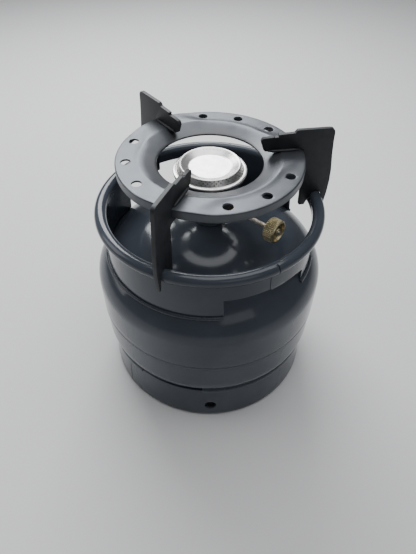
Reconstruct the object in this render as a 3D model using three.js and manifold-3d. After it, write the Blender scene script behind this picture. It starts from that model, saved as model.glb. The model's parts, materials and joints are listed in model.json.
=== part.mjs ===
// A 3 kg camping gas cylinder with a screw-on burner and a lift-off pan support.
// Millimetres, +Z up. The origin is the centre of the foot ring, on the ground.
// Azimuths are in degrees, seen from above, from the front (-Y) towards the right (+X).
import * as THREE from 'three';
import { mergeVertices } from 'three/addons/utils/BufferGeometryUtils.js';
import Module from 'manifold-3d';

const wasm = await Module();
wasm.setup();

// ---- driving dimensions -------------------------------------------------------------
const GAP = 0.3;                 // room left between pieces that touch
const LARGE = 40;                // sides of a large turned piece
const MEDIUM = 28;
const SMALL = 16;

const SHELL_WALL = 2.2;          // pressed vessel halves
const LOWER_RADIUS = 130;
const UPPER_RADIUS = 131.5;
const LOWER_HEAD = { spring: 75, knuckle: 32, crown: 200 };   // dished bottom
const DOME = { spring: 147, depth: 66.5, steps: 9 };           // half an ellipse, about 2 to 1
const SEAM_Z = 110;              // lower edge of the upper shell
const JOGGLE_Z = 104;            // where the lower shell starts to step inwards
const JOGGLE_TOP = 119;

const FOOT_BASE_RADIUS = 127;
const FOOT_TOP_RADIUS = 124;
const FOOT_TOP_Z = 51.6;
const FOOT_WALL = 3;
const FOOT_BEAD = 4.2;           // radius of the rolled-in lower edge
const DRAIN_RADIUS = 7;
const DRAIN_Z = 21.3;
const DRAIN_AZIMUTHS = [1.7, 121.7, 241.7];

const COLLAR_WALL = 2.5;
const COLLAR_FOOT_RADIUS = 116.6;
const WINDOW_FLOOR_Z = 165;      // the window cutters start below the collar's foot
const RIM = { radius: 117.5, z: 232, bead: 6.5 };              // rolled top edge
const WINDOW_CORNER = 14;
const TALL_WINDOW_TOP = 223;
const COLLAR_FEET = [[56.6, 78.4], [120.6, 191.5], [238.5, 367.6]];  // welded azimuths

const BOSS = { radius: 15, bore: 11.2, length: 13.9, topZ: 217 };  // welded into the dome
const VALVE_FLANGE_Z = BOSS.topZ + GAP;    // where the cylinder valve sits on the boss
const VALVE_RADIUS = 15;
const SOCKET_FLOOR_Z = VALVE_FLANGE_Z + 1.3;
const VALVE_TOP_Z = VALVE_FLANGE_Z + 12.8;
const BURNER_SEAT_Z = VALVE_TOP_Z + GAP;   // where the burner sits on the cylinder valve
const PIN_TOP_Z = VALVE_FLANGE_Z + 8.3;
const BODY_TOP_Z = 250;
const BODY_RADIUS = 17.5;
const SPINDLE_Z = 240;
const SPINDLE_AZIMUTH = 50;
const STEM_RADIUS = 2.4;
const BORE_RADIUS = 4.4;
const BOSS_END = 32;             // end of the side boss, out from the centre line
const KNOB = { radius: 12.4, inner: 77, outer: 90, teeth: 32 };

const TUBE_TOP_Z = 262;
const POT_RIM_Z = 273.6;
const HEAD = { flange: 38.2, ridge: 30.6, ridgeZ: 282.8, floor: 21.6, floorZ: 278.5 };
const PORT_COUNT = 16;

const RING = { outer: 95, inner: 54.2, topZ: 291.7, innerZ: 284.7, sheet: 2, skirtZ: 286.5 };
const RING_FUNNEL_RADIUS = 73;
const RING_HOLE_RADIUS = 5.15;
const RING_HOLE_CIRCLE = 84;
const HOLE_SPREAD = 27.3;        // degrees between the holes of one group
const ARM_AZIMUTHS = [-21.5, 98.5, 218.5];
const ARM_PLATE = 4;

// ---- helpers ------------------------------------------------------------------------
const radians = (degrees) => degrees * Math.PI / 180;
const outward = (azimuth) => new THREE.Vector3(Math.sin(radians(azimuth)), -Math.cos(radians(azimuth)), 0);
const sideways = (azimuth) => new THREE.Vector3(Math.cos(radians(azimuth)), Math.sin(radians(azimuth)), 0);
const UP = new THREE.Vector3(0, 0, 1);

// Points on an arc in a profile; angles in degrees from the +radius direction.
function arc(centreR, centreZ, radius, from, to, steps) {
  return Array.from({ length: steps + 1 }, (_, i) => {
    const angle = radians(from + (to - from) * i / steps);
    return [centreR + radius * Math.cos(angle), centreZ + radius * Math.sin(angle)];
  });
}

// A solid of revolution about +Z from a profile of [radius, z] points, given
// anticlockwise. A profile that touches the axis stays open there.
function turned(profile, segments) {
  const points = profile.map(([r, z]) => new THREE.Vector2(Math.max(r, 0), z));
  if (points[0].x > 0) points.push(points[0].clone());
  return new THREE.LatheGeometry(points, segments).rotateX(Math.PI / 2);
}

const ring = (inner, outer, low, high, segments) =>
  turned([[inner, low], [outer, low], [outer, high], [inner, high]], segments);
const rod = (radius, low, high, segments) =>
  turned([[0, low], [radius, low], [radius, high], [0, high]], segments);

function toSolid(geometry) {
  const bare = geometry.clone();
  bare.deleteAttribute('normal');
  bare.deleteAttribute('uv');
  const merged = mergeVertices(bare, 1e-4);
  return new wasm.Manifold(new wasm.Mesh({
    numProp: 3,
    vertProperties: new Float32Array(merged.attributes.position.array),
    triVerts: new Uint32Array(merged.index.array),
  }));
}

function toGeometry(solid) {
  const mesh = solid.getMesh();
  const geometry = new THREE.BufferGeometry();
  geometry.setAttribute('position', new THREE.BufferAttribute(new Float32Array(mesh.vertProperties), 3));
  geometry.setIndex(new THREE.BufferAttribute(new Uint32Array(mesh.triVerts), 1));
  geometry.computeVertexNormals();
  return geometry;
}

function cut(geometry, cutters) {
  return toGeometry(cutters.reduce((solid, cutter) => solid.subtract(toSolid(cutter)), toSolid(geometry)));
}

// A prism that runs outwards along an azimuth; its outline is drawn in (sideways, up).
function outwardPrism(shape, azimuth, start, length) {
  const frame = new THREE.Matrix4().makeBasis(sideways(azimuth), UP, outward(azimuth));
  frame.setPosition(outward(azimuth).multiplyScalar(start));
  return new THREE.ExtrudeGeometry(shape, { depth: length, bevelEnabled: false, curveSegments: 4 })
    .applyMatrix4(frame);
}

// A plate standing in the plane of an azimuth; its outline is drawn in (radius, up).
function radialPlate(shape, azimuth, thickness, offset) {
  const normal = sideways(azimuth).negate();
  const frame = new THREE.Matrix4().makeBasis(outward(azimuth), UP, normal);
  frame.setPosition(normal.clone().multiplyScalar(offset - thickness / 2));
  return new THREE.ExtrudeGeometry(shape, { depth: thickness, bevelEnabled: false, curveSegments: 4 })
    .applyMatrix4(frame);
}

// A pie slice between two azimuths.
function slice(from, to, radius, low, high) {
  const shape = new THREE.Shape();
  const start = outward(from).multiplyScalar(radius);
  shape.moveTo(0, 0);
  shape.lineTo(start.x, start.y);
  shape.absarc(0, 0, radius, radians(from - 90), radians(to - 90), false);
  return new THREE.ExtrudeGeometry(shape, { depth: high - low, bevelEnabled: false, curveSegments: 24 })
    .translate(0, 0, low);
}

// Lays a piece made along +Z onto the spindle's axis.
function alongSpindle(geometry) {
  return geometry.rotateY(Math.PI / 2).rotateZ(radians(SPINDLE_AZIMUTH - 90)).translate(0, 0, SPINDLE_Z);
}

function hexagonWithHole(acrossCorners, hole) {
  const corners = Array.from({ length: 6 }, (_, i) => new THREE.Vector2(
    acrossCorners * Math.cos(radians(60 * i)), acrossCorners * Math.sin(radians(60 * i))));
  const shape = new THREE.Shape(corners);
  shape.holes.push(new THREE.Path().absarc(0, 0, hole, 0, 2 * Math.PI, true));
  return shape;
}

const group = new THREE.Group();
const finishes = {
  paint: { color: 0x39424f, roughness: 0.32, metalness: 0.1 },
  bareSteel: { color: 0x8b8f94, roughness: 0.45, metalness: 0.9 },
  brass: { color: 0xb59a55, roughness: 0.35, metalness: 1 },
  brightMetal: { color: 0xd6d4cf, roughness: 0.28, metalness: 1 },
  blackCasting: { color: 0x24262a, roughness: 0.6, metalness: 0.3 },
  ringCoat: { color: 0x9a9da2, roughness: 0.45, metalness: 0.6 },
  blackCoat: { color: 0x2b2e35, roughness: 0.65, metalness: 0.1 },
  rubber: { color: 0x151515, roughness: 0.85, metalness: 0 },
};

function add(name, geometry, finish) {
  const mesh = new THREE.Mesh(geometry, new THREE.MeshStandardMaterial(finishes[finish]));
  mesh.name = name;
  group.add(mesh);
}

// ---- vessel -------------------------------------------------------------------------
// Outline of the dished base, from its springing line to the axis: a tight knuckle arc
// and a wide crown arc. inset moves it inwards by a wall thickness.
function dishedBase(inset) {
  const { spring, knuckle, crown } = LOWER_HEAD;
  const knuckleR = LOWER_RADIUS - knuckle;
  const turn = 90 - Math.asin(knuckleR / (crown - knuckle)) * 180 / Math.PI;
  const crownZ = spring + Math.sqrt((crown - knuckle) ** 2 - knuckleR ** 2);
  const knuckleArc = arc(knuckleR, spring, knuckle - inset, 0, -turn, 4);
  const crownArc = arc(0, crownZ, crown - inset, -turn, -90, 5).slice(1);
  return [...knuckleArc, ...crownArc];
}

// Outline of the elliptical dome, from its springing line to the axis.
function dome(inset) {
  return Array.from({ length: DOME.steps + 1 }, (_, i) => {
    const angle = Math.PI / 2 * i / DOME.steps;
    return [(UPPER_RADIUS - inset) * Math.cos(angle), DOME.spring + (DOME.depth - inset) * Math.sin(angle)];
  });
}

const domeZ = (radius) => DOME.spring + DOME.depth * Math.sqrt(1 - (radius / UPPER_RADIUS) ** 2);

function lowerShell() {
  const tuck = UPPER_RADIUS - SHELL_WALL - GAP;
  const outside = dishedBase(0).reverse();
  const inside = dishedBase(SHELL_WALL);
  return turned([
    ...outside, [LOWER_RADIUS, JOGGLE_Z], [tuck, SEAM_Z - GAP], [tuck, JOGGLE_TOP],
    [tuck - SHELL_WALL, JOGGLE_TOP], [tuck - SHELL_WALL, SEAM_Z - GAP],
    [LOWER_RADIUS - SHELL_WALL, JOGGLE_Z], ...inside,
  ], LARGE);
}

function upperShell() {
  const shell = turned([
    ...dome(SHELL_WALL).reverse(), [UPPER_RADIUS - SHELL_WALL, SEAM_Z], [UPPER_RADIUS, SEAM_Z], ...dome(0),
  ], LARGE);
  return cut(shell, [rod(BOSS.radius + 2 * GAP, DOME.spring, BOSS.topZ + 10, MEDIUM)]);
}

add('vessel_lower_shell', lowerShell(), 'paint');
add('vessel_upper_shell', upperShell(), 'paint');
add('girth_weld', turned([
  [UPPER_RADIUS - SHELL_WALL + GAP, SEAM_Z - GAP], [LOWER_RADIUS + GAP, JOGGLE_Z],
  [UPPER_RADIUS - 0.2, JOGGLE_Z + 1], [UPPER_RADIUS, SEAM_Z - GAP],
], LARGE), 'paint');
add('valve_boss', ring(BOSS.bore, BOSS.radius, BOSS.topZ - BOSS.length, BOSS.topZ, MEDIUM), 'paint');
add('boss_weld', turned([
  [BOSS.radius + GAP, domeZ(BOSS.radius) + GAP], [BOSS.radius + 2.8, domeZ(BOSS.radius + 2.8) + GAP],
  [BOSS.radius + 1.9, domeZ(BOSS.radius) + 1.5], [BOSS.radius + GAP, domeZ(BOSS.radius) + 2.4],
], MEDIUM), 'paint');

// ---- foot ring ----------------------------------------------------------------------
function footRing() {
  const inner = FOOT_BEAD - FOOT_WALL;
  const outerBead = arc(FOOT_BASE_RADIUS - FOOT_BEAD, FOOT_BEAD, FOOT_BEAD, -85, 0, 3);
  const innerBead = arc(FOOT_BASE_RADIUS - FOOT_BEAD, FOOT_BEAD, inner, 0, -90, 2);
  const shell = turned([
    [FOOT_BASE_RADIUS - FOOT_BEAD - 3, 0], ...outerBead,
    [FOOT_TOP_RADIUS, FOOT_TOP_Z], [FOOT_TOP_RADIUS - FOOT_WALL, FOOT_TOP_Z], ...innerBead,
    [FOOT_BASE_RADIUS - FOOT_BEAD - 3, FOOT_WALL],
  ], LARGE);
  const drain = new THREE.Shape().absarc(0, DRAIN_Z, DRAIN_RADIUS, 0, 2 * Math.PI, false);
  return cut(shell, DRAIN_AZIMUTHS.map((azimuth) => outwardPrism(drain, azimuth, 90, 60)));
}

add('foot_ring', footRing(), 'paint');
// The fillet that joins the foot ring to the vessel is left out over a short stretch at
// the front left, where the ring only touches.
add('foot_ring_weld', cut(turned([
  [FOOT_TOP_RADIUS + GAP, FOOT_TOP_Z - 2.4], [FOOT_TOP_RADIUS + 2.2, FOOT_TOP_Z + 1.6],
  [FOOT_TOP_RADIUS + 2.6, FOOT_TOP_Z + 5], [FOOT_TOP_RADIUS + GAP, FOOT_TOP_Z + 2.2],
], LARGE), [slice(-38, -4, 160, 30, 80)]), 'paint');

// ---- collar -------------------------------------------------------------------------
function tallWindow(halfWidth) {
  const shape = new THREE.Shape();
  const corner = TALL_WINDOW_TOP - WINDOW_CORNER;
  shape.moveTo(-halfWidth, WINDOW_FLOOR_Z);
  shape.lineTo(halfWidth, WINDOW_FLOOR_Z);
  shape.lineTo(halfWidth, corner);
  shape.absarc(halfWidth - WINDOW_CORNER, corner, WINDOW_CORNER, 0, Math.PI / 2, false);
  shape.absarc(WINDOW_CORNER - halfWidth, corner, WINDOW_CORNER, Math.PI / 2, Math.PI, false);
  return shape;
}

// The low window at the front is cut half from each end of the strip, so its top steps
// down at the lap seam and falls towards its right end.
function lowWindow() {
  const shape = new THREE.Shape();
  shape.moveTo(-55.4, WINDOW_FLOOR_Z);
  shape.lineTo(41, WINDOW_FLOOR_Z);
  shape.lineTo(43.8, 189);
  shape.quadraticCurveTo(44.5, 192.8, 41, 193.9);
  shape.lineTo(30.8, 196.6);
  shape.lineTo(20, 198.3);
  shape.lineTo(-6.4, 199.3);
  shape.lineTo(-7.4, 200.9);
  shape.lineTo(-55.4, 200.9);
  return shape;
}

function collar() {
  const wallTop = RIM.radius - RIM.bead;
  const curlOut = arc(RIM.radius, RIM.z, RIM.bead, 180, -110, 8);
  const curlIn = arc(RIM.radius, RIM.z, RIM.bead - COLLAR_WALL, -110, 180, 6);
  const foot = COLLAR_FOOT_RADIUS;
  const clear = GAP + 0.1;
  const profile = [
    [foot - COLLAR_WALL, domeZ(foot - COLLAR_WALL) + clear], ...curlOut, ...curlIn,
    [wallTop + COLLAR_WALL, RIM.z - RIM.bead + 0.6], [foot, domeZ(foot) + clear],
  ].reverse();
  return cut(turned(profile, LARGE), [
    outwardPrism(lowWindow(), 36, 60, 70),
    outwardPrism(tallWindow(42), 99.5, 60, 70),
    outwardPrism(tallWindow(46.5), 215, 60, 70),
  ]);
}

add('collar', collar(), 'paint');
COLLAR_FEET.forEach(([from, to], i) => {
  const toe = COLLAR_FOOT_RADIUS + GAP;
  const bead = turned([
    [toe, domeZ(toe) + GAP], [toe + 2.8, domeZ(toe + 2.8) + GAP],
    [toe + 2, domeZ(toe) + 1.2], [toe, domeZ(toe) + 3.4],
  ], LARGE);
  add(`collar_weld_${i + 1}`, cut(bead, [slice(to - 1, from + 361, 160, 140, 200)]), 'paint');
});

// ---- cylinder valve -----------------------------------------------------------------
class Helix extends THREE.Curve {
  constructor(radius, low, high, turns) {
    super();
    Object.assign(this, { radius, low, high, turns });
  }

  getPoint(t, target = new THREE.Vector3()) {
    const angle = 2 * Math.PI * this.turns * t;
    const height = this.low + (this.high - this.low) * t;
    return target.set(this.radius * Math.cos(angle), this.radius * Math.sin(angle), height);
  }
}

function valveSpring() {
  const wire = 0.45;
  const section = new THREE.Shape(Array.from({ length: 6 }, (_, i) => new THREE.Vector2(
    wire * Math.cos(radians(60 * i)), wire * Math.sin(radians(60 * i)))));
  const path = new Helix(3.3, VALVE_FLANGE_Z - 13.3, VALVE_FLANGE_Z - 8.2, 4);
  return new THREE.ExtrudeGeometry(section, { steps: 48, bevelEnabled: false, extrudePath: path });
}

// Heights inside the cylinder valve are measured from its flange.
const aboveFlange = (profile) => profile.map(([r, z]) => [r, VALVE_FLANGE_Z + z]);
const flangeRing = (inner, outer, low, high) =>
  ring(inner, outer, VALVE_FLANGE_Z + low, VALVE_FLANGE_Z + high, SMALL);

add('cylinder_valve_body', turned([
  ...aboveFlange([[5.2, -18.2], [10.9, -18.2], [10.9, 0], [VALVE_RADIUS, 0]]),
  [VALVE_RADIUS, VALVE_TOP_Z], [8.3, VALVE_TOP_Z], [8.3, SOCKET_FLOOR_Z], [2.3, SOCKET_FLOOR_Z],
  ...aboveFlange([[2.3, -1.7], [5.2, -1.7]]),
], MEDIUM), 'paint');
add('spring_retainer', flangeRing(2.2, 4.9, -17.2, -14.2), 'brass');
add('valve_spring', valveSpring(), 'bareSteel');
add('valve_poppet', turned(aboveFlange([
  [0, -10.4], [1.5, -10.4], [1.5, -7.3], [4.6, -7.3], [4.6, -4.9], [1.6, -4.9], [1.6, 3.3], [0, 3.3],
]), SMALL), 'brass');
add('poppet_seal', flangeRing(1.9, 4.2, -4.6, -3.4), 'rubber');
add('inlet_seal', flangeRing(4, 7.9, 1.6, 4.9), 'rubber');

// ---- burner valve -------------------------------------------------------------------
function burnerValveBody() {
  const inlet = outward(SPINDLE_AZIMUTH).multiplyScalar(5);
  const spigotZ = VALVE_FLANGE_Z + 5.2;
  const body = turned([
    [0, spigotZ], [8, spigotZ], [8, BURNER_SEAT_Z], [14.5, BURNER_SEAT_Z],
    [BODY_RADIUS, BURNER_SEAT_Z + 3], [BODY_RADIUS, BODY_TOP_Z], [0, BODY_TOP_Z],
  ], MEDIUM);
  const sideBoss = alongSpindle(rod(8.5, 8, BOSS_END, SMALL));
  const joined = toSolid(body).add(toSolid(sideBoss));
  return cut(toGeometry(joined), [
    alongSpindle(rod(BORE_RADIUS, 4.2, BOSS_END + 10, SMALL)),
    alongSpindle(rod(1.6, -1.5, 8, SMALL)),
    rod(3.3, SPINDLE_Z - 2, BODY_TOP_Z + 10, SMALL),
    rod(1.5, VALVE_FLANGE_Z, PIN_TOP_Z + GAP, 12),
    rod(1.4, VALVE_FLANGE_Z, SPINDLE_Z - 2, 12).translate(inlet.x, inlet.y, 0),
  ]);
}

add('burner_valve_body', burnerValveBody(), 'blackCasting');
add('depressor_pin', rod(1.2, VALVE_FLANGE_Z + 3.6, PIN_TOP_Z, 12), 'bareSteel');
add('shutoff_plug', alongSpindle(turned([
  [0, 3.4], [1, 3.4], [1.2, 4.6], [3.4, 4.7], [3.4, 13], [0, 13],
], SMALL)), 'brass');
add('control_spindle', alongSpindle(turned([
  [0, 13.3], [4.1, 13.3], [4.1, 25.8], [STEM_RADIUS, 26.4], [STEM_RADIUS, 90.4], [0, 90.4],
], SMALL)), 'bareSteel');
add('gland_packing', alongSpindle(ring(STEM_RADIUS + GAP, 4.1, 27.8, 31.6, SMALL)), 'rubber');
add('gland_nut', alongSpindle(new THREE.ExtrudeGeometry(hexagonWithHole(7.8, STEM_RADIUS + GAP),
  { depth: 6.2, bevelEnabled: false, curveSegments: 8 }).translate(0, 0, BOSS_END + GAP)), 'brass');

function knob() {
  const points = Array.from({ length: KNOB.teeth * 2 }, (_, i) => {
    const angle = Math.PI * i / KNOB.teeth;
    const radius = KNOB.radius - (i % 2) * 0.7;
    return new THREE.Vector2(radius * Math.cos(angle), radius * Math.sin(angle));
  });
  const length = KNOB.outer - KNOB.inner;
  const wheel = new THREE.ExtrudeGeometry(new THREE.Shape(points), { depth: length, bevelEnabled: false })
    .translate(0, 0, KNOB.inner);
  return cut(wheel, [
    rod(STEM_RADIUS + GAP, KNOB.inner - 1, KNOB.outer + 1, SMALL),
    ring(4.6, 9.4, KNOB.outer - 3, KNOB.outer + 1, SMALL),
  ]);
}

add('control_knob', alongSpindle(knob()), 'brass');

// ---- burner -------------------------------------------------------------------------
add('injector', turned([
  [0.6, 241], [3, 241], [3, BODY_TOP_Z + GAP], [5.2, BODY_TOP_Z + GAP], [5.2, 253.4],
  [2.2, 253.8], [1.6, 256], [0.6, 256],
], SMALL), 'brass');

function mixingTube() {
  const window = new THREE.Shape();
  window.moveTo(-5, 253);
  window.lineTo(5, 253);
  window.lineTo(5, 259);
  window.lineTo(-5, 259);
  const tube = ring(BODY_RADIUS - 2, BODY_RADIUS, BODY_TOP_Z + GAP, TUBE_TOP_Z, MEDIUM);
  return cut(tube, [5, 95, 185, 275].map((azimuth) => outwardPrism(window, azimuth, 10, 12)));
}

add('mixing_tube', mixingTube(), 'blackCasting');
add('burner_pot', turned([
  [12, TUBE_TOP_Z + GAP], [BODY_RADIUS, TUBE_TOP_Z + GAP], [20.5, TUBE_TOP_Z + 1.2],
  [34, POT_RIM_Z - 2.6], [37.6, POT_RIM_Z - 2], [37.6, POT_RIM_Z], [33.4, POT_RIM_Z],
  [19.6, TUBE_TOP_Z + 3.2], [12, TUBE_TOP_Z + 2.3],
], MEDIUM), 'blackCasting');

function burnerHead() {
  const { flange, ridge, ridgeZ, floor, floorZ } = HEAD;
  const base = POT_RIM_Z + GAP;
  const shell = turned([
    [0, floorZ - 1.4], [floor + 0.6, floorZ - 1.4], [ridge - 1.2, ridgeZ - 1.6], [ridge - 0.4, ridgeZ - 1.8],
    [flange - 4.8, base + 1.4], [flange - 4.8, base], [flange - 0.7, base], [flange, base + 0.9],
    [flange - 0.4, base + 2], [flange - 3.2, base + 2.4], [ridge + 0.8, ridgeZ - 0.4], [ridge, ridgeZ],
    [ridge - 1, ridgeZ - 0.2], [floor, floorZ], [0, floorZ],
  ], MEDIUM);
  const port = new THREE.Shape().absarc(0, ridgeZ - 3.4, 0.8, 0, 2 * Math.PI, false);
  return cut(shell, Array.from({ length: PORT_COUNT }, (_, i) =>
    outwardPrism(port, (i + 0.5) * 360 / PORT_COUNT, 27, 14)));
}

add('burner_head', burnerHead(), 'brightMetal');

// ---- pan support --------------------------------------------------------------------
function supportRing() {
  const { outer, inner, topZ, innerZ, sheet, skirtZ } = RING;
  const disc = turned([
    [inner, innerZ - sheet], [RING_FUNNEL_RADIUS, topZ - sheet], [outer - sheet, topZ - sheet],
    [outer - sheet, skirtZ], [outer, skirtZ], [outer, topZ - 1.2], [outer - 1.2, topZ],
    [RING_FUNNEL_RADIUS - 0.6, topZ], [inner, innerZ],
  ], LARGE);
  const holes = ARM_AZIMUTHS.flatMap((arm) => [-1, 0, 1].map((step) => {
    const place = outward(arm + 60 + step * HOLE_SPREAD).multiplyScalar(RING_HOLE_CIRCLE);
    return rod(RING_HOLE_RADIUS, topZ - 10, topZ + 10, 14).translate(place.x, place.y, 0);
  }));
  return cut(disc, holes);
}

// One pan arm: a stepped bar over the ring, a lug under it, and a leg whose two prongs
// straddle the rolled rim of the collar.
function armOutline() {
  const { outer, topZ, sheet, skirtZ } = RING;
  const notch = RIM.bead + 0.4;
  const shape = new THREE.Shape();
  shape.moveTo(52, 306.4);
  shape.lineTo(50.6, 303);
  shape.lineTo(54, 293.4);
  shape.lineTo(56, topZ + GAP);
  shape.lineTo(outer + GAP, topZ + GAP);
  shape.lineTo(outer + GAP, skirtZ - GAP);
  shape.lineTo(outer - sheet - GAP, skirtZ - GAP);
  shape.lineTo(outer - sheet - GAP, topZ - sheet - GAP);
  shape.lineTo(81, topZ - sheet - GAP);
  shape.lineTo(81, 276.5);
  shape.lineTo(95, 276.5);
  shape.quadraticCurveTo(99.2, 276, 99.2, 271);
  shape.lineTo(99.6, 240);
  shape.lineTo(100.4, 221.6);
  shape.lineTo(106.6, 221.6);
  shape.lineTo(108.6, 227.5);
  shape.lineTo(RIM.radius - notch, RIM.z);
  shape.absarc(RIM.radius, RIM.z, notch, Math.PI, 0, true);
  shape.lineTo(RIM.radius + notch + 0.6, 224);
  shape.quadraticCurveTo(126, 218.6, 128.4, 220.4);
  shape.quadraticCurveTo(130.4, 236, 130.6, 252);
  shape.lineTo(129.8, 266);
  shape.lineTo(127.4, 284);
  shape.lineTo(126, 306.6);
  shape.quadraticCurveTo(126, 313, 119.6, 313.2);
  shape.lineTo(87, 313.2);
  shape.lineTo(84.4, 310.2);
  shape.lineTo(67, 309.4);
  shape.lineTo(64, 307.2);
  return shape;
}

function armWeld(azimuth) {
  const bead = new THREE.Shape();
  bead.moveTo(58, RING.topZ + GAP);
  bead.lineTo(90, RING.topZ + GAP);
  bead.lineTo(87.5, RING.topZ + 3);
  bead.lineTo(60.5, RING.topZ + 3);
  return radialPlate(bead, azimuth, 2.4, ARM_PLATE / 2 + GAP + 1.2);
}

add('support_ring', supportRing(), 'ringCoat');
ARM_AZIMUTHS.forEach((azimuth, i) => {
  add(`support_arm_${i + 1}`, radialPlate(armOutline(), azimuth, ARM_PLATE, 0), 'blackCoat');
  add(`support_arm_weld_${i + 1}`, armWeld(azimuth), 'blackCoat');
});

export default group;
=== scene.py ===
# %% [markdown]
# # A camping gas cylinder with its burner
#
# The real object is a squat welded steel cylinder. It stands on a foot ring, carries a
# rolled guard collar, and has a burner screwed into its top. A ring with three hooked
# arms hangs on the collar's rim and holds the pan. The frame that is loaded here has
# every piece at its real place and size. This lesson gives each piece that shows a
# finer shape and a finish, and leaves the hidden pieces as they are.

# %% Load the frame
import json
import math

import bmesh
import bpy
from mathutils import Matrix, Vector


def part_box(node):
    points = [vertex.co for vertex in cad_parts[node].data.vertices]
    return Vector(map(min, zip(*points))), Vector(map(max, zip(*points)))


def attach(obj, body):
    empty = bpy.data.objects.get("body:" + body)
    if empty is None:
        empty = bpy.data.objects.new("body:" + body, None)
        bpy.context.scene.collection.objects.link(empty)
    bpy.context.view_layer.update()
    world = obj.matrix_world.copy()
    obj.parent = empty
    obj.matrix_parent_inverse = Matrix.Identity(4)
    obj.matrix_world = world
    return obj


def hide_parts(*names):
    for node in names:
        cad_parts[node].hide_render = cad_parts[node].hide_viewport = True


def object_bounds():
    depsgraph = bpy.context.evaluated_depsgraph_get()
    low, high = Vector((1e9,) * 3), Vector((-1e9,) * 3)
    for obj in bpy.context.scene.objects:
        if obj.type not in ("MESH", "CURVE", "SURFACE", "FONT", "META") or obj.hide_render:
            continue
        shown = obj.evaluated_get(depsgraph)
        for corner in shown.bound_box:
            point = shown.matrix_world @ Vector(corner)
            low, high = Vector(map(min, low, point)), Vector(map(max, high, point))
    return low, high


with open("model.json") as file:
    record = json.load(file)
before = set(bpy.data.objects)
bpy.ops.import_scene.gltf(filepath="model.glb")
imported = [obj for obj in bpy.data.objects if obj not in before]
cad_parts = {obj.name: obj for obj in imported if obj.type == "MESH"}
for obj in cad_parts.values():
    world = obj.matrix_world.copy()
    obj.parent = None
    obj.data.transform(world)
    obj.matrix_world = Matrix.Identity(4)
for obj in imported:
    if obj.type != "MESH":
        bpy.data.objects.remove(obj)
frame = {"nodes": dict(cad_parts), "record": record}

MM = 0.001
cad_box = [list(corner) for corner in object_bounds()]
print("frame:", len(frame["nodes"]), "nodes, box", cad_box)

# %% [markdown]
# ## Reading sizes from the frame
#
# Every outline below is worked out in millimetres. The heights and radii come from the
# boxes of the frame's nodes, so the pieces land where the frame says.

# %% Sizes that the frame gives


def low(node, axis=2):
    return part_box(node)[0][axis] / MM


def high(node, axis=2):
    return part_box(node)[1][axis] / MM


UPPER_R = high("vessel_upper_shell", 0)
LOWER_R = high("vessel_lower_shell", 0)
SEAM_Z = low("vessel_upper_shell")
FOOT_TOP = high("foot_ring")
FOOT_R = high("foot_ring", 0)
RIM_TOP = high("collar")
RIM_OUTER = high("collar", 0)
COLLAR_FOOT_Z = low("collar")
RING_R = high("support_ring", 0)
RING_TOP = high("support_ring")
RING_SKIRT = low("support_ring")
HEAD_R = high("burner_head", 0)
HEAD_TOP = high("burner_head")
HEAD_BASE = low("burner_head")
POT_BASE = low("burner_pot")
BODY_TOP = high("burner_valve_body")
BURNER_SEAT = high("cylinder_valve_body") + 0.3
SPINDLE_Z = (low("control_spindle") + high("control_spindle")) / 2
JOINTS = {joint["name"]: joint for joint in frame["record"]["behaviour"]["joints"]}
SPINDLE_AXIS = Vector(JOINTS["knob_turn"]["axis"])
ARM_AZIMUTHS = (-21.5, 98.5, 218.5)
print("vessel radius", UPPER_R, "rim", RIM_OUTER, RIM_TOP, "ring", RING_R, RING_TOP)

# %% [markdown]
# ## Helpers for outlines and turned pieces
#
# Pressed and turned metal never has a truly sharp corner, and the soft line of light
# along an edge is what makes it look real. So an outline is a list of corners, each with
# its own radius, and one helper turns the corners into arcs. The outline is then spun
# round the vertical axis with the spin operator, which is how a lathe or a spinning
# chuck would make it.

# %% Outline helpers


def arc(centre_r, centre_z, radius, start, end, steps):
    """Points along an arc; angles in degrees from the outward direction."""
    points = []
    for i in range(steps + 1):
        angle = math.radians(start + (end - start) * i / steps)
        points.append((centre_r + radius * math.cos(angle), centre_z + radius * math.sin(angle)))
    return points


def eased(corners, default=0.4, steps=4):
    """Rounds each corner of an outline. A corner is (r, z) or (r, z, radius)."""
    points = []
    count = len(corners)
    for i, corner in enumerate(corners):
        here = Vector(corner[:2])
        radius = corner[2] if len(corner) > 2 else default
        before = Vector(corners[i - 1][:2]) - here
        after = Vector(corners[(i + 1) % count][:2]) - here
        on_axis = here.x < 1e-6
        if radius <= 0 or on_axis or before.length < 1e-6 or after.length < 1e-6:
            points.append(tuple(here))
            continue
        half = before.angle(after) / 2
        if half > math.radians(88):
            points.append(tuple(here))
            continue
        reach = min(radius / math.tan(half), 0.45 * before.length, 0.45 * after.length)
        first = here + before.normalized() * reach
        last = here + after.normalized() * reach
        for k in range(steps + 1):
            t = k / steps
            points.append(tuple((1 - t) ** 2 * first + 2 * t * (1 - t) * here + t * t * last))
    return points


def divided(start, end, parts):
    """Points between two ends, without the ends."""
    a, b = Vector(start), Vector(end)
    return [tuple(a.lerp(b, i / parts)) for i in range(1, parts)]


def around(azimuth, radius, z):
    """A point at an azimuth, measured from the front towards the right."""
    angle = math.radians(azimuth)
    return Vector((radius * math.sin(angle), -radius * math.cos(angle), z)) * MM


def azimuth_of(point):
    return math.degrees(math.atan2(point.x, -point.y))


# %% Turned pieces


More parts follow.
